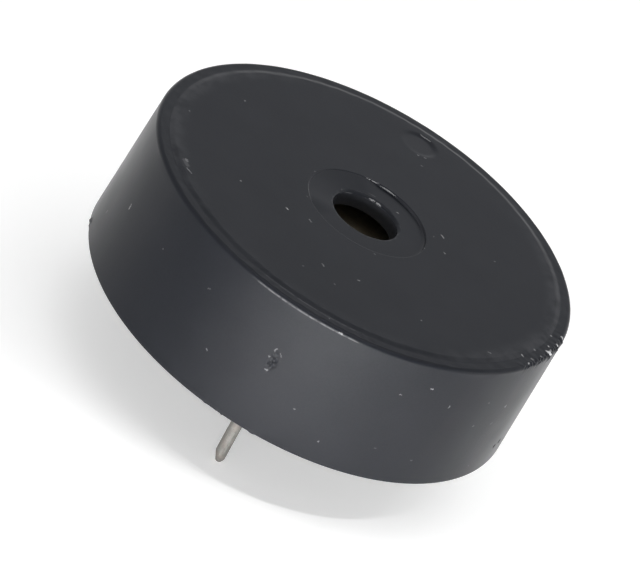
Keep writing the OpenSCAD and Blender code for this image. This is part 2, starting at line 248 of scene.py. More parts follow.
# Marks on the side: azimuth, height, slant from level, half length, half width and whiteness.
# Every mark's outline is ragged: the size and reach of that, in mm, come after.
SIDE_MARKS = [
    (-149, 4.0, 97, 0.14, 0.055, 0.4),
    (-159, 2.0, 80, 0.10, 0.05, 0.22),
    (-22.4, 4.75, 80, 0.04, 0.055, 0.50),
    (-32, 3.8, 50, 0.03, 0.05, 0.25),
    (-24.5, 3.7, 60, 0.05, 0.05, 0.16),
    (-113, 5.1, 40, 0.06, 0.05, 0.12),
    (-52.0, 6.05, 0, 0.06, 0.045, 0.45),
    (-44.2, 5.1, 80, 0.05, 0.045, 0.30),
    (-31.3, 5.3, 0, 0.02, 0.05, 0.16),
    (-105.3, 2.45, -40, 0.05, 0.045, 0.25),
    (-80.1, 2.35, 0, 0.02, 0.045, 0.22),
    (-71.0, 1.25, 0, 0.02, 0.05, 0.30),
    (-58.9, 5.3, 0, 0.03, 0.05, 0.25),
    (-57.2, 1.9, 0, 0.03, 0.06, 0.08),
    (-45.8, 1.55, 0, 0.03, 0.05, 0.14),
    (104, 3.1, 40, 0.20, 0.05, 0.25),
    (61, 5.3, 75, 0.14, 0.045, 0.20),
    (151, 2.1, 10, 0.10, 0.05, 0.18),
    (-91.7, 4.2, 0, 0.02, 0.05, 0.28),
    (-91.2, 4.7, 80, 0.10, 0.045, 0.20),
    (-90.7, 3.5, 0, 0.06, 0.05, 0.25),
    (-89.6, 4.6, -45, 0.10, 0.04, 0.14),
    (-80.2, 7.29, 0, 0.08, 0.06, 0.4),
]
RAGGED_SIZE = 1 / 11
RAGGED_REACH = 0.15

# Flecks of flash and pits low on the side: azimuth, height, width and how far each stands out,
# which is below zero for a pit. Lengths in mm.
NIBS = [
    (-167.0, 0.22, 0.16, 0.10),
    (-166.0, 0.05, 0.10, 0.05),
    (-99.1, 0.06, 0.12, 0.04),
    (-95.7, 0.08, 0.08, 0.05),
    (-94.2, 0.05, 0.10, 0.04),
    (-85.9, 0.03, 0.20, 0.04),
    (-10.6, 1.55, 0.11, -0.13),
    (-12.9, 1.41, 0.10, -0.11),
    (-4.0, 1.06, 0.10, -0.10),
    (38.0, 0.07, 0.14, 0.05),
    (142.0, 0.05, 0.12, 0.04),
]

# Knocked patch on the side: its middle, its half sizes, how deep it goes and its layers of noise
KNOCK_AZIMUTH = -90.4
KNOCK_Z = 4.1 * MM
KNOCK_HALF_W = 0.3 * MM
KNOCK_HALF_H = 0.72 * MM
KNOCK_DEPTH = 0.07 * MM
KNOCK_LUMPS = [(0.8, 0.26, 3), (1.1, 0.11, 8)]

# Roughness of the case, and how much less it is round the polished edges: radius, height, reach
# and amount
CASE_ROUGH = (0.28, 0.34)
POLISHED = [
    (RECESS_R, FACE_Z - RECESS_DEPTH / 2, 0.1 * MM, 0.12),
    (SOUND_R + 0.05 * LIP_R, RECESS_Z - 0.7 * LIP_R, 0.07 * MM, 0.14),
]

# Stretch of the rim and of the face's step given a painted highlight, a pale broken line: where it starts
# and ends, as X over the radius, then each line's radius, height, reach and paleness
HIGHLIGHT_STRETCH = (-0.22, 0.235)
HIGHLIGHT_FADE = 0.04
HIGHLIGHT_LINES = [
    (TOP_R, LEDGE_Z - 0.9 * EDGE_R, 0.055 * MM, 0.33),
    (FACE_R, LEDGE_Z, 0.045 * MM, 0.22),
]

# Band of the face rubbed pale: radii in mm over which it comes and goes
RUBBED_RISE = (10.0, 10.9)
RUBBED_FALL = (11.1, 11.16)

# Camera: where it looks, from how far and how it is rolled
CAMERA_LENS = 337.5
CAMERA_ELEVATION = 29.0
CAMERA_ROLL = 31.88
CAMERA_DISTANCE = 306.3 * MM
AIM_RIGHT = 0.094 * MM
AIM_UP = 1.885 * MM
CAMERA_CLIP = (0.01, 10)

# Lights: how far they stand, then each one's name, azimuth, elevation, width, height and power
LAMP_DISTANCE = 0.35
LAMPS = [
    ("front_strip", -90, 5, 0.30, 0.05, 1.25),
    ("right", 0, 12, 0.12, 0.12, 0.15),
    ("back_right", 45, 30, 0.20, 0.20, 0.05),
    ("top", -90, 85, 0.34, 0.34, 0.3),
]

# Light that the floor throws up from in front: each pool's azimuth, distance out and power, then
# where its spot stands beyond it and how wide it shines
POOLS = [(-90, 45, 18.0), (-60, 42, 14.5), (-8, 42, 2.6)]
POOL_BACK = 0.12
POOL_UP = 0.25
POOL_CONE = 11
POOL_SOURCE_R = 0.01

# What the world gives as light, and what is seen of it: white up to the first height, given as a
# sine, and a cool grey above the second
WORLD_LIGHT = 0.52
SKY_FALL = (0.1, 0.2)
HORIZON = (1.0, 1.0, 1.0)
SKY = (0.695, 0.712, 0.755)

# Floor: half its side, how far it is raised towards white where it is seen, and its colour
FLOOR_HALF = 0.6
FLOOR_LIFT = 0.38
PAPER = (0.86, 0.86, 0.86, 1)

# ---- mesh tools --------------------------------------------------------------------------------


def around(azimuth, radius, height=0.0):
    """The point at an azimuth in degrees, a radius and a height."""
    a = math.radians(azimuth)
    return Vector((radius * math.cos(a), radius * math.sin(a), height))


def side_r(height):
    """Radius of the drafted side wall at a height."""
    return RIM_R - (height - SEAT_Z) * math.tan(DRAFT)


def spaced(start, end, step):
    """Points from start up to but not including end, about step apart."""
    start, end = np.array(start, float), np.array(end, float)
    count = max(1, round(np.linalg.norm(end - start) / step))
    return [tuple(start + (end - start) * i / count) for i in range(count)]


def flat(start, end, step):
    """As spaced, with a row close to each end, which keeps the shading of a flat stretch flat."""
    start, end = np.array(start, float), np.array(end, float)
    hold = (end - start) / np.linalg.norm(end - start) * HOLD
    return [tuple(start)] + spaced(start + hold, end - hold, step) + [tuple(end - hold)]


def arc(centre, radius, first, last, count):
    """Points of an arc between two angles in degrees, both ends included."""
    angles = np.radians(np.linspace(first, last, count + 1))
    return [(centre[0] + radius * math.cos(a), centre[1] + radius * math.sin(a)) for a in angles]


def soft_step(start, end, count):
    """Points of a smooth step from one (radius, height) to another."""
    steps = np.linspace(0, 1, count + 1)
    return [
        (start[0] + (end[0] - start[0]) * t, start[1] + (end[1] - start[1]) * eased(t)) for t in steps
    ]


def eased(t):
    """Smooth rise from 0 to 1 as t goes from 0 to 1."""
    return (1 - np.cos(math.pi * np.clip(t, 0, 1))) / 2


def rough(points, size, seed):
    """Smooth noise from -1 to 1 at each point, with lumps of about the size given."""
    shift = Vector((seed, 2 * seed, 3 * seed))
    return np.array([noise.noise(Vector(p) / size + shift) for p in points])


def layered(points, layers):
    """Noise summed from layers of (amount, size in mm, seed)."""
    return sum(amount * rough(points, size * MM, seed) for amount, size, seed in layers)


def graded(spans):
    """Azimuths of (start, step) spans, each of which runs to the start of the next."""
    azimuths = []
    for (start, step), (end, _) in zip(spans, spans[1:]):
        azimuths += list(np.linspace(start, end, round((end - start) / step), endpoint=False))
    return np.array(azimuths)


def added(name, data):
    """A new object in the scene."""
    thing = bpy.data.objects.new(name, data)
    bpy.context.scene.collection.objects.link(thing)
    return thing


def mesh_of(name, points, faces):
    """A new mesh of points and faces."""
    mesh = bpy.data.meshes.new(name)
    mesh.from_pydata([tuple(p) for p in points], [], faces)
    return mesh


def make_piece(name, points, faces, material, node):
    """A smooth-shaded mesh piece that rides on the part and stands for the CAD node named."""
    mesh = mesh_of(name, points, faces)
    mesh.validate()
    mesh.shade_smooth()
    mesh.set_sharp_from_angle(angle=SHARP_ANGLE)
    mesh.materials.append(material)
    piece = added(name, mesh)
    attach(piece, "root")
    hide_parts(node)
    return piece


def ring_faces(rows, columns, closed):
    """Quads between rows of points that each run a full turn. A closed section joins last to first."""
    faces = []
    for i in range(rows if closed else rows - 1):
        a, b = i * columns, (i + 1) % rows * columns
        for j in range(columns):
            k = (j + 1) % columns
            faces.append((a + j, a + k, b + k, b + j))
    return faces


def turned(section, azimuths):
    """Points of a section of (radius, height) turned to each azimuth in degrees, row by row."""
    section = np.array(section)
    radius, azimuth = np.meshgrid(section[:, 0], np.radians(azimuths), indexing="ij")
    height = np.repeat(section[:, 1:], len(azimuths), axis=1)
    points = np.stack([radius * np.cos(azimuth), radius * np.sin(azimuth), height], -1)
    return points.reshape(-1, 3)


def capped(points, rows, columns):
    """A lathe form's points and faces, closed at both ends with a fan."""
    faces = ring_faces(rows, columns, False)
    ends = [points[:columns].mean(0), points[-columns:].mean(0)]
    low, high = len(points), len(points) + 1
    last = (rows - 1) * columns
    for j in range(columns):
        k = (j + 1) % columns
        faces.append((low, k, j))
        faces.append((high, last + j, last + k))
    return np.vstack([points, ends]), faces


# ---- case --------------------------------------------------------------------------------------


def case_section():
    """The case's section as (radius, height), from the seating rim up the outside, in and down."""
    edge = arc((TOP_R - EDGE_R, LEDGE_Z - EDGE_R), EDGE_R, 2 - math.degrees(DRAFT), 90, count=12)
    wall_foot = (RIM_R, SEAT_Z + RIM_ROUND)
    ledge_end = (FACE_R, LEDGE_Z)
    face_edge = (FACE_R - STEP_RUN, FACE_Z)
    dimple_out = (DIMPLE_AT + DIMPLE_R + DIMPLE_MARGIN, FACE_Z)
    dimple_in = (DIMPLE_AT - DIMPLE_R - DIMPLE_MARGIN, FACE_Z)
    recess_edge = (RECESS_R + RECESS_RUN / 2, FACE_Z)
    recess_foot = (RECESS_R - RECESS_RUN / 2, RECESS_Z)
    lip = arc((SOUND_R + LIP_R, RECESS_Z - LIP_R), LIP_R, 90, 180, count=12)
    knock_low = (side_r(KNOCK_Z - KNOCK_HALF_H), KNOCK_Z - KNOCK_HALF_H)
    knock_high = (side_r(KNOCK_Z + KNOCK_HALF_H), KNOCK_Z + KNOCK_HALF_H)
    flash_top = (side_r(FLASH_Z), FLASH_Z)
    section = flat((BOARD_BORE_R + RIM_CHAMFER, SEAT_Z), (RIM_R - RIM_ROUND, SEAT_Z), SEAT_ROWS)
    section += arc((RIM_R - RIM_ROUND, SEAT_Z + RIM_ROUND), RIM_ROUND, 270, 360, count=3)[:-1]
    section += spaced(wall_foot, flash_top, FLASH_ROWS)
    section += spaced(flash_top, knock_low, WALL_ROWS)
    section += spaced(knock_low, knock_high, KNOCK_ROWS)
    section += flat(knock_high, edge[0], WALL_ROWS)
    section += edge[:-1]
    section += flat(edge[-1], ledge_end, LEDGE_ROWS)
    section += soft_step(ledge_end, face_edge, count=10)[:-1]
    section += flat(face_edge, dimple_out, WALL_ROWS)
    section += spaced(dimple_out, dimple_in, DIMPLE_ROWS)
    section += flat(dimple_in, recess_edge, FACE_ROWS)
    section += soft_step(recess_edge, recess_foot, count=8)[:-1]
    section += flat(recess_foot, lip[0], SEAT_ROWS)
    section += lip[:-1]
    section += spaced(lip[-1], (SOUND_R, CEILING_Z + INNER_CHAMFER), BORE_ROWS)
    section += [
        (SOUND_R, CEILING_Z + INNER_CHAMFER),
        (SOUND_R + INNER_CHAMFER, CEILING_Z),
        (ELEMENT_BORE_R - ELEMENT_LEDGE_W, CEILING_Z),
        (ELEMENT_BORE_R - ELEMENT_LEDGE_W, ELEMENT_SEAT_Z),
        (ELEMENT_BORE_R, ELEMENT_SEAT_Z),
        (ELEMENT_BORE_R, BOARD_TOP_Z),
        (BOARD_BORE_R, BOARD_TOP_Z),
        (BOARD_BORE_R, SEAT_Z + RIM_CHAMFER),
    ]
    return np.array(section)


def dimple_depth(points):
    """How deep each point of the face lies in the dimple, which leans into one side."""
    centre = around(DIMPLE_AZIMUTH, DIMPLE_AT)
    away = np.hypot(points[:, 0] - centre.x, points[:, 1] - centre.y)
    deep_way = around(DIMPLE_DEEP_SIDE, 1.0)
    toward = (points[:, 0] - centre.x) * deep_way.x + (points[:, 1] - centre.y) * deep_way.y
    tilt = 0.5 + 0.5 * np.clip(toward / DIMPLE_R, -1, 1)
    depth = DIMPLE_DEPTH * tilt * eased((DIMPLE_R - away) / DIMPLE_RUN)
    return np.where(points[:, 2] > LEDGE_Z, depth, 0)


def burr_place(azimuth, radius, slant):
    """Middle of a burr on the rim and the way it runs, which is its slant from the radius."""
    return around(azimuth, radius * MM, LEDGE_Z), around(azimuth + slant, 1.0)


def torn_rim(points):
    """How far the burrs lift each point."""
    lift = np.zeros(len(points))
    near = np.where(points[:, 2] > LEDGE_Z - 1.5 * EDGE_R)[0]
    for i, (azimuth, radius, slant, half, width, height, _) in enumerate(BURRS):
        middle, way = burr_place(azimuth, radius, slant)
        gap = points[near][:, :2] - np.array(middle)[:2]
        close = near[np.hypot(*gap.T) < (half + 3 * width) * MM]
        gap = points[close] - np.array(middle)
        along = gap @ np.array(way)
        across = np.hypot(gap[:, 0] - along * way.x, gap[:, 1] - along * way.y)
        torn = 1 + BURR_RAGGED * rough(points[close], BURR_GRAIN, i)
        end = eased((half * MM - np.abs(along)) / BURR_GRAIN + 0.5)
        ridge = eased(1.3 - across / (width * MM * torn))
        lift[close] += height * MM * end * ridge * torn
    return lift


def chewed(points):
    """Small teeth along the torn stretch of the outer edge."""
    azimuth = np.degrees(np.arctan2(points[:, 1], points[:, 0]))
    middle, half = np.mean(CHEWED), np.ptp(CHEWED) / 2
    away = np.hypot(np.hypot(points[:, 0], points[:, 1]) - TOP_R, points[:, 2] - LEDGE_Z)
    edge = np.where((np.abs(azimuth - middle) < half) & (away < CHEW_REACH))[0]
    out = np.zeros(len(points))
    fade = eased(3 - 3 * np.abs(azimuth[edge] - middle) / half) * eased((CHEW_REACH - away[edge]) / EDGE_R)
    out[edge] = CHEW_DEPTH * fade * (layered(points[edge], TEETH) - 0.25)
    return out


def knocked(points):
    """How far each point of the knocked patch stands out or in."""
    azimuth = np.degrees(np.arctan2(points[:, 1], points[:, 0]))
    across = np.radians(azimuth - KNOCK_AZIMUTH) * RIM_R / KNOCK_HALF_W
    along = (points[:, 2] - KNOCK_Z) / KNOCK_HALF_H
    away = np.hypot(across, along)
    inside = np.where((away < 1.2) & (np.hypot(points[:, 0], points[:, 1]) > FACE_R))[0]
    out = np.zeros(len(points))
    fade = eased(1.5 * (1.15 - away[inside]))
    out[inside] = KNOCK_DEPTH * fade * (layered(points[inside], KNOCK_LUMPS) - 0.3)
    return out


def nibs(points):
    """How far the flecks of flash and the pits move each point outwards."""
    out = np.zeros(len(points))
    low = np.where((points[:, 2] < FLASH_Z) & (np.hypot(points[:, 0], points[:, 1]) > FACE_R))[0]
    for azimuth, height, width, stand in NIBS:
        away = points[low] - np.array(around(azimuth, side_r(height * MM), height * MM))
        out[low] += stand * MM * eased(1.2 - np.linalg.norm(away, axis=1) / (width * MM))
    return out


def recess_rise(points):
    """How far the floor of the recess rises towards its wall, which makes it shallower on one side."""
    radius = np.hypot(points[:, 0], points[:, 1])
    way = around(RECESS_SHALLOW_SIDE, 1.0)
    share = (points[:, 0] * way.x + points[:, 1] * way.y) / radius
    inside = (points[:, 2] > RECESS_Z - HOLD) & (radius < RECESS_R + RECESS_RUN)
    out = np.clip((radius - SOUND_R - LIP_R) / (RECESS_R - SOUND_R - LIP_R), 0, 1)
    depth = np.clip((FACE_Z - points[:, 2]) / RECESS_DEPTH, 0, 1)
    rise = eased((share - RECESS_RISE_SPAN[0]) / np.ptp(RECESS_RISE_SPAN))
    return np.where(inside, RECESS_RISE * out * depth * rise, 0)


def uneven(points, outward):
    """Slight waviness of the rim, of the face's step and of the hole's lip, along each point's way out."""
    radius = np.hypot(points[:, 0], points[:, 1])
    rim = (points[:, 2] > LEDGE_Z - EDGE_R) & (radius > FACE_R - STEP_RUN)
    step = rim & (radius < FACE_R + STEP_RUN)
    lip = (radius < SOUND_R + LIP_R) & (points[:, 2] > CEILING_Z + INNER_CHAMFER)
    out = np.zeros(len(points))
    for zone, (size, depth) in ((rim, RIM_WAVE), (step, STEP_WAVE), (lip, LIP_WAVE)):
        out[zone] += depth * MM * rough(points[zone], size * MM, size)
    return outward * out[:, None]


def section_normals(section):
    """Unit normals out of a closed section that runs up its outside."""
    way = np.roll(section, -1, 0) - np.roll(section, 1, 0)
    normal = np.stack([way[:, 1], -way[:, 0]], -1)
    return normal / np.linalg.norm(normal, axis=1)[:, None]


def case_piece(material):
    """The moulded case, turned from its section, with its wear."""
    section = case_section()
    azimuths = graded(CASE_COLUMNS)
    points = turned(section, azimuths)
    normals = section_normals(section)
    radial = np.stack([np.cos(np.radians(azimuths)), np.sin(np.radians(azimuths))], -1)
    outward = np.concatenate([np.column_stack([n[0] * radial, np.full(len(radial), n[1])]) for n in normals])
    moved = points + outward * (torn_rim(points) + chewed(points) + knocked(points) + nibs(points))[:, None]
    moved += uneven(points, outward)
    moved[:, 2] += recess_rise(points) - dimple_depth(points)
    faces = ring_faces(len(section), len(azimuths), True)
    return make_piece("case", moved, faces, material, "housing")


# ---- pins and resin ----------------------------------------------------------------------------


def pin_section():
    """A pin's section as (radius, height), from its tip up."""
    tip_z = PIN_TIP_Z + PIN_TIP_ROUND
    taper_z = PIN_TIP_Z + PIN_CUT_LONG
    section = arc((PIN_R - PIN_TIP_ROUND, tip_z), PIN_TIP_ROUND, 275, 360, count=4)
    section += spaced((PIN_R, tip_z + PIN_TIP_ROWS), (PIN_R, taper_z), PIN_TIP_ROWS)
    section += spaced((PIN_R, taper_z), (PIN_R, PIN_FREE_TOP_Z), PIN_ROWS)
    shoulder = (PIN_SWAGE_R, PIN_FREE_TOP_Z + PIN_SHOULDER)
    section += soft_step((PIN_R, PIN_FREE_TOP_Z), shoulder, count=4)
    section += spaced(shoulder, (PIN_SWAGE_R, PIN_TOP_Z - PIN_BEVEL), PIN_SWAGE_ROWS)[1:]
    section += [(PIN_SWAGE_R, PIN_TOP_Z - PIN_BEVEL), (PIN_SWAGE_R - PIN_BEVEL, PIN_TOP_Z)]
    return section


def pin_piece(name, node, y, material, cut_azimuth, shift=0.0, lean=0.0):
    """A pin: a cropped wire whose tip is cut back more on one side.

    Below the resin it may stand aside by shift, and lean on its way down, both along +X.
    """
    azimuths = np.linspace(0, 360, PIN_COLUMNS, endpoint=False)
    section = pin_section()
    points = turned(section, azimuths)
    azimuth = np.tile(azimuths, len(section))
    side = 0.5 + 0.5 * np.cos(np.radians(azimuth - cut_azimuth))
    reach = PIN_CUT_SHORT + (PIN_CUT_LONG - PIN_CUT_SHORT) * side
    share = PIN_CUT_SHARE[0] + (PIN_CUT_SHARE[1] - PIN_CUT_SHARE[0]) * side
    points[:, :2] *= (1 - share * np.clip(1 - (points[:, 2] - PIN_TIP_Z) / reach, 0, 1))[:, None]
    dented = PIN_DENT * rough(points, PIN_DENT_SIZE, cut_azimuth)
    points[:, :2] *= (1 + dented / PIN_R)[:, None]
    free = np.clip((PIN_FREE_TOP_Z - points[:, 2]) / (PIN_FREE_TOP_Z - PIN_TIP_Z), 0, 1)
    points[:, 0] += shift * eased(8 * free) + lean * free * (0.6 + 0.4 * free)
    points[:, 1] += y
    points, faces = capped(points, len(section), len(azimuths))
    return make_piece(name, points, faces, material, node)


def resin_piece(material):
    """The cast resin: it climbs the wall and the pins a little, and has set with a few bubbles."""
    flat_radii = np.concatenate([np.arange(*row) for row in RESIN_ROWS]) * MM
    wet_radii = BOARD_BORE_R - RESIN_WET_W * (1 - np.linspace(0, 1, RESIN_WET_ROWS))
    section = [(r, RESIN_Z) for r in (*flat_radii, *wet_radii)] + [(BOARD_BORE_R, BOARD_Z)]
    azimuths = graded(RESIN_COLUMNS)
    points = turned(section, azimuths)
    x, y = points[:, 0], points[:, 1]
    below = points[:, 2] < (RESIN_Z + BOARD_Z) / 2
    wall = 1 - np.sqrt(1 - np.clip(1 - (BOARD_BORE_R - np.hypot(x, y)) / RESIN_WET_W, 0, 1) ** 2)
    drop = (RESIN_Z - RESIN_WALL_Z) * wall
    for side in (-1, 1):
        away = np.hypot(x, y - side * PIN_Y) - PIN_R
        drop += PIN_WET_DEPTH * np.clip(1 - away / PIN_WET_W, 0, 1) ** 2
    drop += MM * layered(points, RESIN_WAVES)
    for azimuth, radius, width in BUBBLES:
        away = (points - np.array(around(azimuth, radius * MM, RESIN_Z)))[:, :2]
        drop -= BUBBLE_DEPTH * width * MM * eased(1 - np.hypot(*away.T) / (width * MM))
    points[:, 2] -= np.where(below, drop, 0)
    points, faces = capped(points, len(section), len(azimuths))
    points[-2, 2] = RESIN_Z
    piece = make_piece("resin", points, faces, material, "sealing_resin")
    for side in (-1, 1):
        cut_pin_hole(piece, side * PIN_Y)
    fan_out(piece.data)
    return piece


def cut_pin_hole(piece, y):
    """Cuts the hole that a pin's swaged stretch fills, and joins the slivers that the cut leaves."""
    azimuths = np.linspace(0, 360, PIN_COLUMNS, endpoint=False)
    points = turned([(PIN_SWAGE_R, z) for z in CUTTER_Z], azimuths) + np.array([0, y, 0])
    points, faces = capped(points, len(CUTTER_Z), len(azimuths))
    cutter = added("cutter", mesh_of("cutter", points, faces))
    cut = piece.modifiers.new("pin_hole", "BOOLEAN")
    cut.object = cutter
    cut.operation = "DIFFERENCE"
    cut.solver = "EXACT"
    weld = piece.modifiers.new("weld", "WELD")
    weld.merge_threshold = WELD_GAP
    with bpy.context.temp_override(object=piece, active_object=piece):
        for name in (cut.name, weld.name):
            bpy.ops.object.modifier_apply(modifier=name)
    bpy.data.objects.remove(cutter)


def fan_out(mesh):
    """Splits each many-sided face that a cut leaves into a fan, so that its triangles share whole edges."""
    form = bmesh.new()
    form.from_mesh(mesh)
    bmesh.ops.poke(form, faces=[face for face in form.faces if len(face.verts) > 4])
    form.to_mesh(mesh)
    form.free()


# ---- material tools ----------------------------------------------------------------------------


class Tree:
    """A node tree, with short ways to add to it."""

    def __init__(self, tree):
        self.tree = tree

    def node(self, kind, *values, **settings):
        """A node with its settings made, and its first sockets set or linked."""
        node = self.tree.nodes.new("ShaderNode" + kind)
        for key, value in settings.items():
            setattr(node, key, value)
        for socket, value in zip(node.inputs, values):
            self.put(socket, value)
        return node

    def put(self, socket, value):
        """Sets a socket, or links another to it. None leaves it as it is."""
        if isinstance(value, bpy.types.NodeSocket):
            self.tree.links.new(value, socket)
        elif value is not None:
            socket.default_value = value

    def math(self, operation, *values):
        """The result of a Math node."""
        return self.node("Math", *values, operation=operation).outputs[0]

    def times(self, *values):
        """The product of several values."""
        return reduce(partial(self.math, "MULTIPLY"), values)

    def highest(self, values):
        """The highest of several values."""
        return reduce(partial(self.math, "MAXIMUM"), values)

    def vector(self, operation, *values, scale=None):
        """The result of a Vector Math node."""
        node = self.node("VectorMath", *values, operation=operation)
        if scale is not None:
            self.put(node.inputs["Scale"], scale)
        return node.outputs["Value" if operation in ("LENGTH", "DISTANCE", "DOT_PRODUCT") else "Vector"]

    def span(self, value, low, high, start=0.0, end=1.0):
        """value taken smoothly from start, at low, to end, at high."""
        return self.node("MapRange", value, low, high, start, end, interpolation_type="SMOOTHSTEP").outputs[0]

    def colours(self, share, first, second):
        """A mix of two colours, all of the second where share is 1."""
        node = self.node("Mix", data_type="RGBA")
        self.put(node.inputs[0], share)
        for socket, colour in zip(node.inputs[6:8], (first, second)):
            self.put(socket, colour if isinstance(colour, bpy.types.NodeSocket) else (*colour, 1))
        return node.outputs[2]

    def seen(self):
        """1 for camera, glossy and transmission rays, and 0 for those that light the part."""
        path = self.node("LightPath").outputs
        return self.highest(path[f"Is {kind} Ray"] for kind in ("Camera", "Glossy", "Transmission"))


class Look(Tree):
    """One material's nodes. Places are the object's own coordinates in millimetres."""

    def __init__(self, name, specular=0.5, metallic=0.0):
        self.material = bpy.data.materials.new(name)
        self.material.use_nodes = True
        super().__init__(self.material.node_tree)
        self.shader = self.tree.nodes["Principled BSDF"]
        self.set("Specular IOR Level", specular)
        self.set("Metallic", metallic)
        self.place = self.vector("SCALE", self.node("TexCoord").outputs["Object"], scale=1 / MM)

    def set(self, name, value):
        """Sets or links one of the shader's own sockets."""
        self.put(self.shader.inputs[name], value)

    def stretched(self, x, y, z):
        """Places scaled along each axis, so that a pattern runs lengthways."""
        return self.vector("MULTIPLY", self.place, (x, y, z))

    def noise(self, size, detail=2.0, place=None, output="Fac"):
        """Noise from about 0.25 to 0.75, with lumps of about the size given in mm."""
        node = self.node("TexNoise", place or self.place)
        node.inputs["Scale"].default_value = 1 / size
        node.inputs["Detail"].default_value = detail
        return node.outputs[output]

    def bump(self, height, depth):
        """Surface relief of a depth in mm, laid over what the shader has so far."""
        node = self.node("Bump")
        node.inputs["Distance"].default_value = depth * MM
        self.put(node.inputs["Height"], height)
        earlier = self.shader.inputs["Normal"].links
        if earlier:
            self.put(node.inputs["Normal"], earlier[0].from_socket)
        self.set("Normal", node.outputs[0])

    def specks(self, size, radius, share):
        """Round specks up to radius across a grid of cells of a size in mm, in a share of the cells."""
        cells = self.node("TexVoronoi", self.place)
        cells.inputs["Scale"].default_value = 1 / size
        cells.inputs["Randomness"].default_value = 1
        chance = self.node("SeparateColor", cells.outputs["Color"])
        chosen = self.math("LESS_THAN", chance.outputs[0], share)
        reach = self.times(self.span(chance.outputs[1], 0, 1, 0.4, 1), radius / size)
        inside = self.math("SUBTRACT", reach, cells.outputs["Distance"])
        return self.times(chosen, self.span(inside, 0, radius / size / 3))


def mark_group():
    """A node group: how far a place lies inside a rounded line of a width, given its middle and way."""
    group = bpy.data.node_groups.new("mark", "ShaderNodeTree")
    sockets = {"Place": "Vector", "Middle": "Vector", "Way": "Vector"}
    sockets.update({"Half": "Float", "Width": "Float", "Strength": "Float"})
    for name, kind in sockets.items():
        group.interface.new_socket(name, in_out="INPUT", socket_type="NodeSocket" + kind)
    group.interface.new_socket("Mark", in_out="OUTPUT", socket_type="NodeSocketFloat")
    given = group.nodes.new("NodeGroupInput").outputs
    tree = Tree(group)
    gap = tree.vector("SUBTRACT", given["Place"], given["Middle"])
    along = tree.vector("DOT_PRODUCT", gap, given["Way"])
    held = tree.math("MINIMUM", along, given["Half"])
    held = tree.math("MAXIMUM", held, tree.times(given["Half"], -1))
    nearest = tree.vector("SCALE", given["Way"], scale=held)
    away = tree.vector("LENGTH", tree.vector("SUBTRACT", gap, nearest))
    fade = tree.span(tree.math("DIVIDE", away, given["Width"]), 0.45, 1.1, 1, 0)
    tree.put(group.nodes.new("NodeGroupOutput").inputs[0], tree.times(fade, given["Strength"]))
    return group


def marked(look, marks, place):
    """The strongest mark at each place. A mark is (middle, way, half length, half width, strength)."""
    group = bpy.data.node_groups.get("mark") or mark_group()
    made = (look.node("Group", place, *mark, node_tree=group) for mark in marks)
    return look.highest(node.outputs[0] for node in made)


# ---- materials ---------------------------------------------------------------------------------


def face_marks():
    """The marks on the face and on the recess's floor."""
    marks = []
    for x, y, direction, half, width, strength in FACE_MARKS:
        height = RECESS_Z if math.hypot(x, y) * MM < RECESS_R else FACE_Z
        marks.append(((x, y, height / MM), around(direction, 1), half, width, strength))
    return marks


def side_marks():
    """The marks on the side wall."""
    marks = []
    for azimuth, height, slant, half, width, strength in SIDE_MARKS:
        s = math.radians(slant)
        way = around(azimuth + 90, math.cos(s), math.sin(s))
        marks.append((around(azimuth, side_r(height * MM) / MM, height), way, half, width, strength))
    return marks


def lip_glints():
    """The painted glints round the sound hole and its recess."""
    marks = []
    for azimuth, radius, height, half, width, strength in LIP_GLINTS:
        marks.append((around(azimuth, radius, height), around(azimuth + 90, 1), half, width, strength))
    return marks


def burr_marks():
    """The white of each burr, a little wider than its ridge."""
    marks = []
    for azimuth, radius, slant, half, width, height, strength in BURRS:
        middle, way = burr_place(azimuth, radius, slant)
        marks.append((middle / MM + Vector((0, 0, 0.3 * height)), way, half, 1.25 * width, strength))
    return marks


def ring_line(look, profile, radius, height, reach, amount):
    """A line round the case: amount at its middle, and 0 beyond its reach."""
    away = look.vector("DISTANCE", profile, (radius / MM, height / MM, 0))
    return look.span(away, reach / MM, 0.4 * reach / MM, 0, amount)


def highlight_stretch(look, across, y):
    """1 along the near stretch of the rim that has a painted highlight, and 0 elsewhere."""
    start = look.span(across, HIGHLIGHT_STRETCH[0] - HIGHLIGHT_FADE, HIGHLIGHT_STRETCH[0])
    end = look.span(across, HIGHLIGHT_STRETCH[1] + HIGHLIGHT_FADE, HIGHLIGHT_STRETCH[1])
    return look.times(start, end, look.math("LESS_THAN", y, 0.0))


def rubbed_band(look, across, radius):
    """How pale the face is rubbed near its rim: more at the two ends of the X axis."""
    rise = look.span(radius, *RUBBED_RISE)
    fall = look.span(radius, *reversed(RUBBED_FALL))
    ends = look.span(look.math("ABSOLUTE", across), 0.55, 0.95, 0.25, 1)
    return look.times(rise, fall, ends, look.span(look.noise(0.9, 4), 0.3, 0.7))


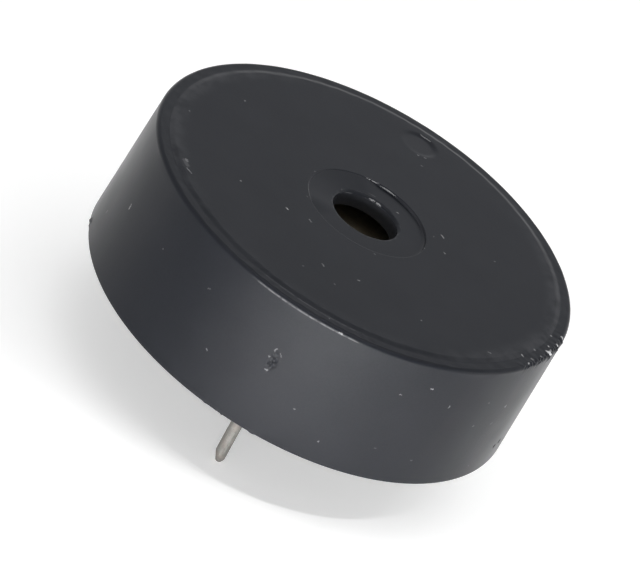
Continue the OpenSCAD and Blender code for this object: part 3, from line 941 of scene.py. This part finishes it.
def case_plastic():
    """Black moulded plastic: a fine matt grain, clouded by handling, with dust, scratches and torn edges, and
    painted light and highlights at the rim, the sound hole and its recess.
    """
    look = Look("case_plastic", specular=0.16)
    cloud = look.noise(3.5, 3)
    grain = look.noise(0.09, 2)
    apart = look.node("SeparateXYZ", look.place).outputs
    radius = look.vector("LENGTH", look.vector("MULTIPLY", look.place, (1, 1, 0)))
    across = look.math("DIVIDE", apart[0], radius)
    profile = look.node("CombineXYZ", radius, apart[2]).outputs[0]

    base = look.colours(look.span(cloud, 0.35, 0.65), (0.0066, 0.0076, 0.0106), (0.0084, 0.0095, 0.0128))
    base = look.colours(look.times(look.span(grain, 0.3, 0.7), 0.3), base, (0.0132, 0.0142, 0.017))
    base = look.colours(look.times(rubbed_band(look, across, radius), 0.12), base, (0.2, 0.2, 0.21))

    # The near stretch of the rim and of the step: a painted highlight in a pale broken line, where handling
    # also polishes the plastic
    line = look.highest(ring_line(look, profile, *ring) for ring in HIGHLIGHT_LINES)
    line = look.times(line, highlight_stretch(look, across, apart[1]))
    broken = look.span(look.noise(0.3, 3), 0.3, 0.6, 0.35, 1)
    base = look.colours(look.times(line, broken), base, (0.26, 0.26, 0.27))

    # Painted light down the sound hole: a paler colour that lifts the shade of its wall
    inside = look.span(radius, (SOUND_R + 0.07 * MM) / MM, (SOUND_R + 0.02 * MM) / MM)
    below = look.span(apart[2], (RECESS_Z - 0.08 * MM) / MM, (RECESS_Z - 0.16 * MM) / MM)
    base = look.colours(look.times(inside, below), base, (0.027, 0.0285, 0.033))
    # Painted light at the foot of the recess's wall on one side, which lifts its shade there
    recess_foot_light = ring_line(look, profile, RECESS_R, RECESS_Z, 0.16 * MM, 0.03)
    base = look.colours(look.times(recess_foot_light, look.span(across, 0.1, 0.6)), base, (0.4, 0.4, 0.42))

    # Dust, scratches, painted glints and torn plastic, with ragged outlines
    jitter = look.vector("SUBTRACT", look.noise(RAGGED_SIZE, output="Color"), (0.5, 0.5, 0.5))
    ragged = look.vector("ADD", look.place, look.vector("SCALE", jitter, scale=RAGGED_REACH))
    scratches_and_glints = marked(look, face_marks() + side_marks() + lip_glints(), ragged)
    torn = marked(look, burr_marks(), ragged)
    pale = look.highest([scratches_and_glints, look.times(look.specks(1.1, 0.05, 0.1), 0.25)])
    base = look.colours(pale, base, (0.5, 0.5, 0.51))
    look.set("Base Color", look.colours(torn, base, (0.76, 0.76, 0.77)))

    # Edges are polished by handling, and dust and torn plastic are dull
    polished = [ring_line(look, profile, *ring) for ring in POLISHED]
    polish = look.highest([look.times(line, 0.25), *polished])
    roughness = look.math("SUBTRACT", look.span(look.noise(3, 2), 0.3, 0.7, *CASE_ROUGH), polish)
    look.set("Roughness", look.math("ADD", roughness, look.times(look.highest([pale, torn]), 0.3)))
    look.bump(grain, 0.002)
    look.bump(look.noise(0.03, 1), 0.0007)
    return look.material


def sealing_resin():
    """Black casting resin: glossy, with a faint skin, dust and flow lines."""
    look = Look("sealing_resin")
    cloud = look.span(look.noise(2.4, 3), 0.35, 0.65)
    base = look.colours(cloud, (0.006, 0.006, 0.007), (0.012, 0.012, 0.014))
    dust = look.times(look.specks(0.8, 0.05, 0.18), 0.35)
    look.set("Base Color", look.colours(dust, base, (0.3, 0.3, 0.29)))
    roughness = look.span(look.noise(1.3, 4), 0.3, 0.7, 0.12, 0.26)
    look.set("Roughness", look.math("ADD", roughness, look.times(dust, 0.8)))
    look.bump(look.noise(0.8, 2), 0.01)
    look.bump(look.noise(0.12, 2), 0.001)
    return look.material


def tinned_pin():
    """Tinned wire: dull plate with drawn streaks, brownish stains and a few scratches."""
    look = Look("tinned_pin", metallic=1.0)
    streaks = look.noise(0.05, 3, look.stretched(1, 1, 0.12))
    stains = look.span(look.noise(0.55, 4), 0.42, 0.66)
    spots = look.span(look.noise(0.11, 3), 0.55, 0.7)
    base = look.colours(look.span(streaks, 0.3, 0.7), (0.235, 0.231, 0.216), (0.29, 0.285, 0.267))
    base = look.colours(look.times(stains, 0.4), base, (0.295, 0.25, 0.222))
    look.set("Base Color", look.colours(look.times(spots, 0.35), base, (0.15, 0.145, 0.13)))
    look.set("Roughness", look.span(look.noise(0.2, 3), 0.3, 0.7, 0.6, 0.75))
    look.bump(streaks, 0.006)
    look.bump(look.noise(0.1, 3), 0.006)
    return look.material


def finish(name, low, high, size, rough, depth, fleck, metallic=0.0, way=(1, 1, 1)):
    """A plain finish: two colours clouded together, a range of roughness, and a grain of a size in mm.

    fleck is (colour, cell, radius, share, strength) of specks, and way stretches the grain lengthways.
    """
    look = Look(name, metallic=metallic)
    grain = look.noise(size, 3, look.stretched(*way))
    mixed = look.math("ADD", look.times(look.noise(size * 9, 3), 0.5), look.times(grain, 0.5))
    base = look.colours(look.span(mixed, 0.34, 0.66), low, high)
    colour, cell, radius, share, strength = fleck
    look.set("Base Color", look.colours(look.times(look.specks(cell, radius, share), strength), base, colour))
    look.set("Roughness", look.span(look.noise(size * 4, 3), 0.3, 0.7, *rough))
    look.bump(grain, depth)
    return look.material


def inner_finishes():
    """What finish takes for each slot of what is closed in."""
    dust = (0.3, 0.29, 0.27)
    lead = {"size": 0.12, "rough": (0.32, 0.48), "depth": 0.004}
    return {
        "brass_plate": dict(
            low=(0.42, 0.355, 0.24), high=(0.54, 0.46, 0.315), size=0.06, rough=(0.4, 0.6), depth=0.002,
            metallic=0.9, way=(0.04, 1, 1), fleck=((0.26, 0.21, 0.15), 0.9, 0.09, 0.3, 0.6),
        ),
        "piezo_ceramic": dict(
            low=(0.66, 0.61, 0.48), high=(0.78, 0.73, 0.6), size=0.05, rough=(0.55, 0.75), depth=0.003,
            fleck=((0.45, 0.4, 0.3), 0.35, 0.03, 0.25, 0.6),
        ),
        "silver_layer": dict(
            low=(0.66, 0.65, 0.62), high=(0.85, 0.84, 0.81), size=0.04, rough=(0.4, 0.6), depth=0.003,
            metallic=1.0, fleck=((0.5, 0.42, 0.3), 0.7, 0.08, 0.2, 0.5),
        ),
        "silicone_bead": dict(
            low=(0.6, 0.6, 0.58), high=(0.76, 0.76, 0.74), size=0.3, rough=(0.28, 0.45), depth=0.02,
            fleck=(dust, 0.6, 0.04, 0.15, 0.5),
        ),
        "board_laminate": dict(
            low=(0.4, 0.25, 0.09), high=(0.56, 0.38, 0.16), size=0.08, rough=(0.4, 0.6), depth=0.004,
            way=(0.3, 1, 1), fleck=((0.3, 0.18, 0.07), 0.4, 0.05, 0.35, 0.5),
        ),
        "copper_track": dict(
            low=(0.55, 0.27, 0.14), high=(0.78, 0.46, 0.27), size=0.08, rough=(0.28, 0.45), depth=0.003,
            metallic=1.0, way=(1, 0.2, 1), fleck=((0.3, 0.16, 0.08), 0.5, 0.07, 0.25, 0.5),
        ),
        "chip_black": dict(
            low=(0.014, 0.014, 0.016), high=(0.03, 0.03, 0.032), size=0.035, rough=(0.45, 0.62), depth=0.004,
            fleck=((0.09, 0.09, 0.09), 0.25, 0.02, 0.3, 0.6),
        ),
        "leg_tin": dict(
            low=(0.52, 0.51, 0.49), high=(0.7, 0.69, 0.67), size=0.04, rough=(0.3, 0.5), depth=0.003,
            metallic=1.0, way=(0.3, 1, 1), fleck=((0.34, 0.33, 0.31), 0.3, 0.04, 0.25, 0.5),
        ),
        "solder": dict(
            low=(0.52, 0.52, 0.52), high=(0.74, 0.74, 0.73), size=0.07, rough=(0.16, 0.38), depth=0.006,
            metallic=1.0, fleck=((0.4, 0.3, 0.16), 0.4, 0.06, 0.2, 0.5),
        ),
        "lead_red": dict(
            low=(0.42, 0.012, 0.01), high=(0.55, 0.03, 0.022), fleck=(dust, 0.4, 0.03, 0.2, 0.4), **lead
        ),
        "lead_white": dict(
            low=(0.66, 0.66, 0.62), high=(0.78, 0.78, 0.75), fleck=(dust, 0.4, 0.03, 0.25, 0.4), **lead
        ),
        "lead_black": dict(
            low=(0.011, 0.011, 0.012), high=(0.02, 0.02, 0.021), fleck=(dust, 0.4, 0.03, 0.2, 0.4), **lead
        ),
    }


def dress_inner_parts():
    """Gives each CAD node that stays its slot's material."""
    looks = {slot: finish(slot, **settings) for slot, settings in inner_finishes().items()}
    for part in frame["record"]["subparts"]:
        if part["material_slot"] in looks:
            mesh = frame["nodes"][part["node"]].data
            mesh.materials.clear()
            mesh.materials.append(looks[part["material_slot"]])


# ---- stage -------------------------------------------------------------------------------------


def make_camera():
    """The photograph's view, with the part tilted by rolling the camera."""
    elevation, roll = math.radians(CAMERA_ELEVATION), math.radians(CAMERA_ROLL)
    back = Vector((0, -math.cos(elevation), math.sin(elevation)))
    level = Vector((1, 0, 0))
    up = back.cross(level)
    place = back * CAMERA_DISTANCE + level * AIM_RIGHT + up * AIM_UP
    turn = Matrix.Rotation(roll, 3, back)
    axes = Matrix([turn @ level, turn @ up, back]).transposed()
    data = bpy.data.cameras.new("camera")
    data.lens = CAMERA_LENS
    data.clip_start, data.clip_end = CAMERA_CLIP
    camera = added("camera", data)
    camera.matrix_world = Matrix.Translation(place) @ axes.to_4x4()
    bpy.context.scene.camera = camera


def hang_lamp(data, aim, out):
    """Puts a lamp out from the place it shines at."""
    lamp = added(data.name, data)
    lamp.location = aim + out
    lamp.rotation_mode = "QUATERNION"
    lamp.rotation_quaternion = out.to_track_quat("Z", "Y")


def softbox(name, azimuth, elevation, width, height, power):
    """An area light that faces the part from an azimuth and elevation in degrees."""
    data = bpy.data.lights.new(name, "AREA")
    data.shape = "RECTANGLE"
    data.size = width
    data.size_y = height
    data.energy = power
    out = around(azimuth, math.cos(math.radians(elevation)), math.sin(math.radians(elevation)))
    hang_lamp(data, Vector(), out * LAMP_DISTANCE)


def floor_pool(azimuth, distance, power):
    """A narrow spot on the floor, which lights the side wall from below."""
    data = bpy.data.lights.new("pool", "SPOT")
    data.energy = power
    data.spot_size = math.radians(POOL_CONE)
    data.spot_blend = 1
    data.shadow_soft_size = POOL_SOURCE_R
    hang_lamp(data, around(azimuth, distance * MM, PIN_TIP_Z), around(azimuth, POOL_BACK, POOL_UP))


def floor_paper():
    """White paper, raised to white where it is seen, and clear from underneath."""
    material = bpy.data.materials.new("floor_paper")
    material.use_nodes = True
    nodes = material.node_tree.nodes
    nodes.remove(nodes["Principled BSDF"])
    tree = Tree(material.node_tree)
    paper = tree.node("BsdfDiffuse", PAPER).outputs[0]
    glow = tree.node("Emission", None, tree.times(tree.seen(), FLOOR_LIFT)).outputs[0]
    above = tree.node("AddShader", paper, glow).outputs[0]
    below = tree.node("BsdfTransparent").outputs[0]
    underneath = tree.node("NewGeometry").outputs["Backfacing"]
    mixed = tree.node("MixShader", underneath, above, below).outputs[0]
    tree.put(nodes["Material Output"].inputs["Surface"], mixed)
    return material


def make_floor():
    """The floor that the pins' tips touch."""
    corners = [(x * FLOOR_HALF, y * FLOOR_HALF, PIN_TIP_Z) for x, y in ((-1, -1), (1, -1), (1, 1), (-1, 1))]
    mesh = mesh_of("floor", corners, [(0, 1, 2, 3)])
    mesh.materials.append(floor_paper())
    added("floor", mesh)


def make_world():
    """A pale studio: what is seen runs from white at the horizon to a cool grey overhead."""
    world = bpy.data.worlds.new("studio")
    bpy.context.scene.world = world
    world.use_nodes = True
    nodes = world.node_tree.nodes
    tree = Tree(world.node_tree)
    plain = nodes["Background"]
    plain.inputs["Color"].default_value = (1, 1, 1, 1)
    plain.inputs["Strength"].default_value = WORLD_LIGHT
    way = tree.node("TexCoord").outputs["Generated"]
    height = tree.node("SeparateXYZ", way).outputs["Z"]
    sky = tree.colours(tree.span(height, *SKY_FALL), HORIZON, SKY)
    seen = tree.node("Background", sky).outputs[0]
    mixed = tree.node("MixShader", tree.seen(), plain.outputs[0], seen).outputs[0]
    tree.put(nodes["World Output"].inputs["Surface"], mixed)


make_camera()
make_world()
make_floor()
for lamp in LAMPS:
    softbox(*lamp)
for pool in POOLS:
    floor_pool(*pool)

case_piece(case_plastic())
resin_piece(sealing_resin())
pin_material = tinned_pin()
pin_piece("pin_minus", "negative_pin", -PIN_Y, pin_material, cut_azimuth=180, shift=PIN_SHIFT, lean=PIN_LEAN)
pin_piece("pin_plus", "positive_pin", PIN_Y, pin_material, cut_azimuth=20)
dress_inner_parts()

bpy.context.scene.view_settings.view_transform = "Standard"
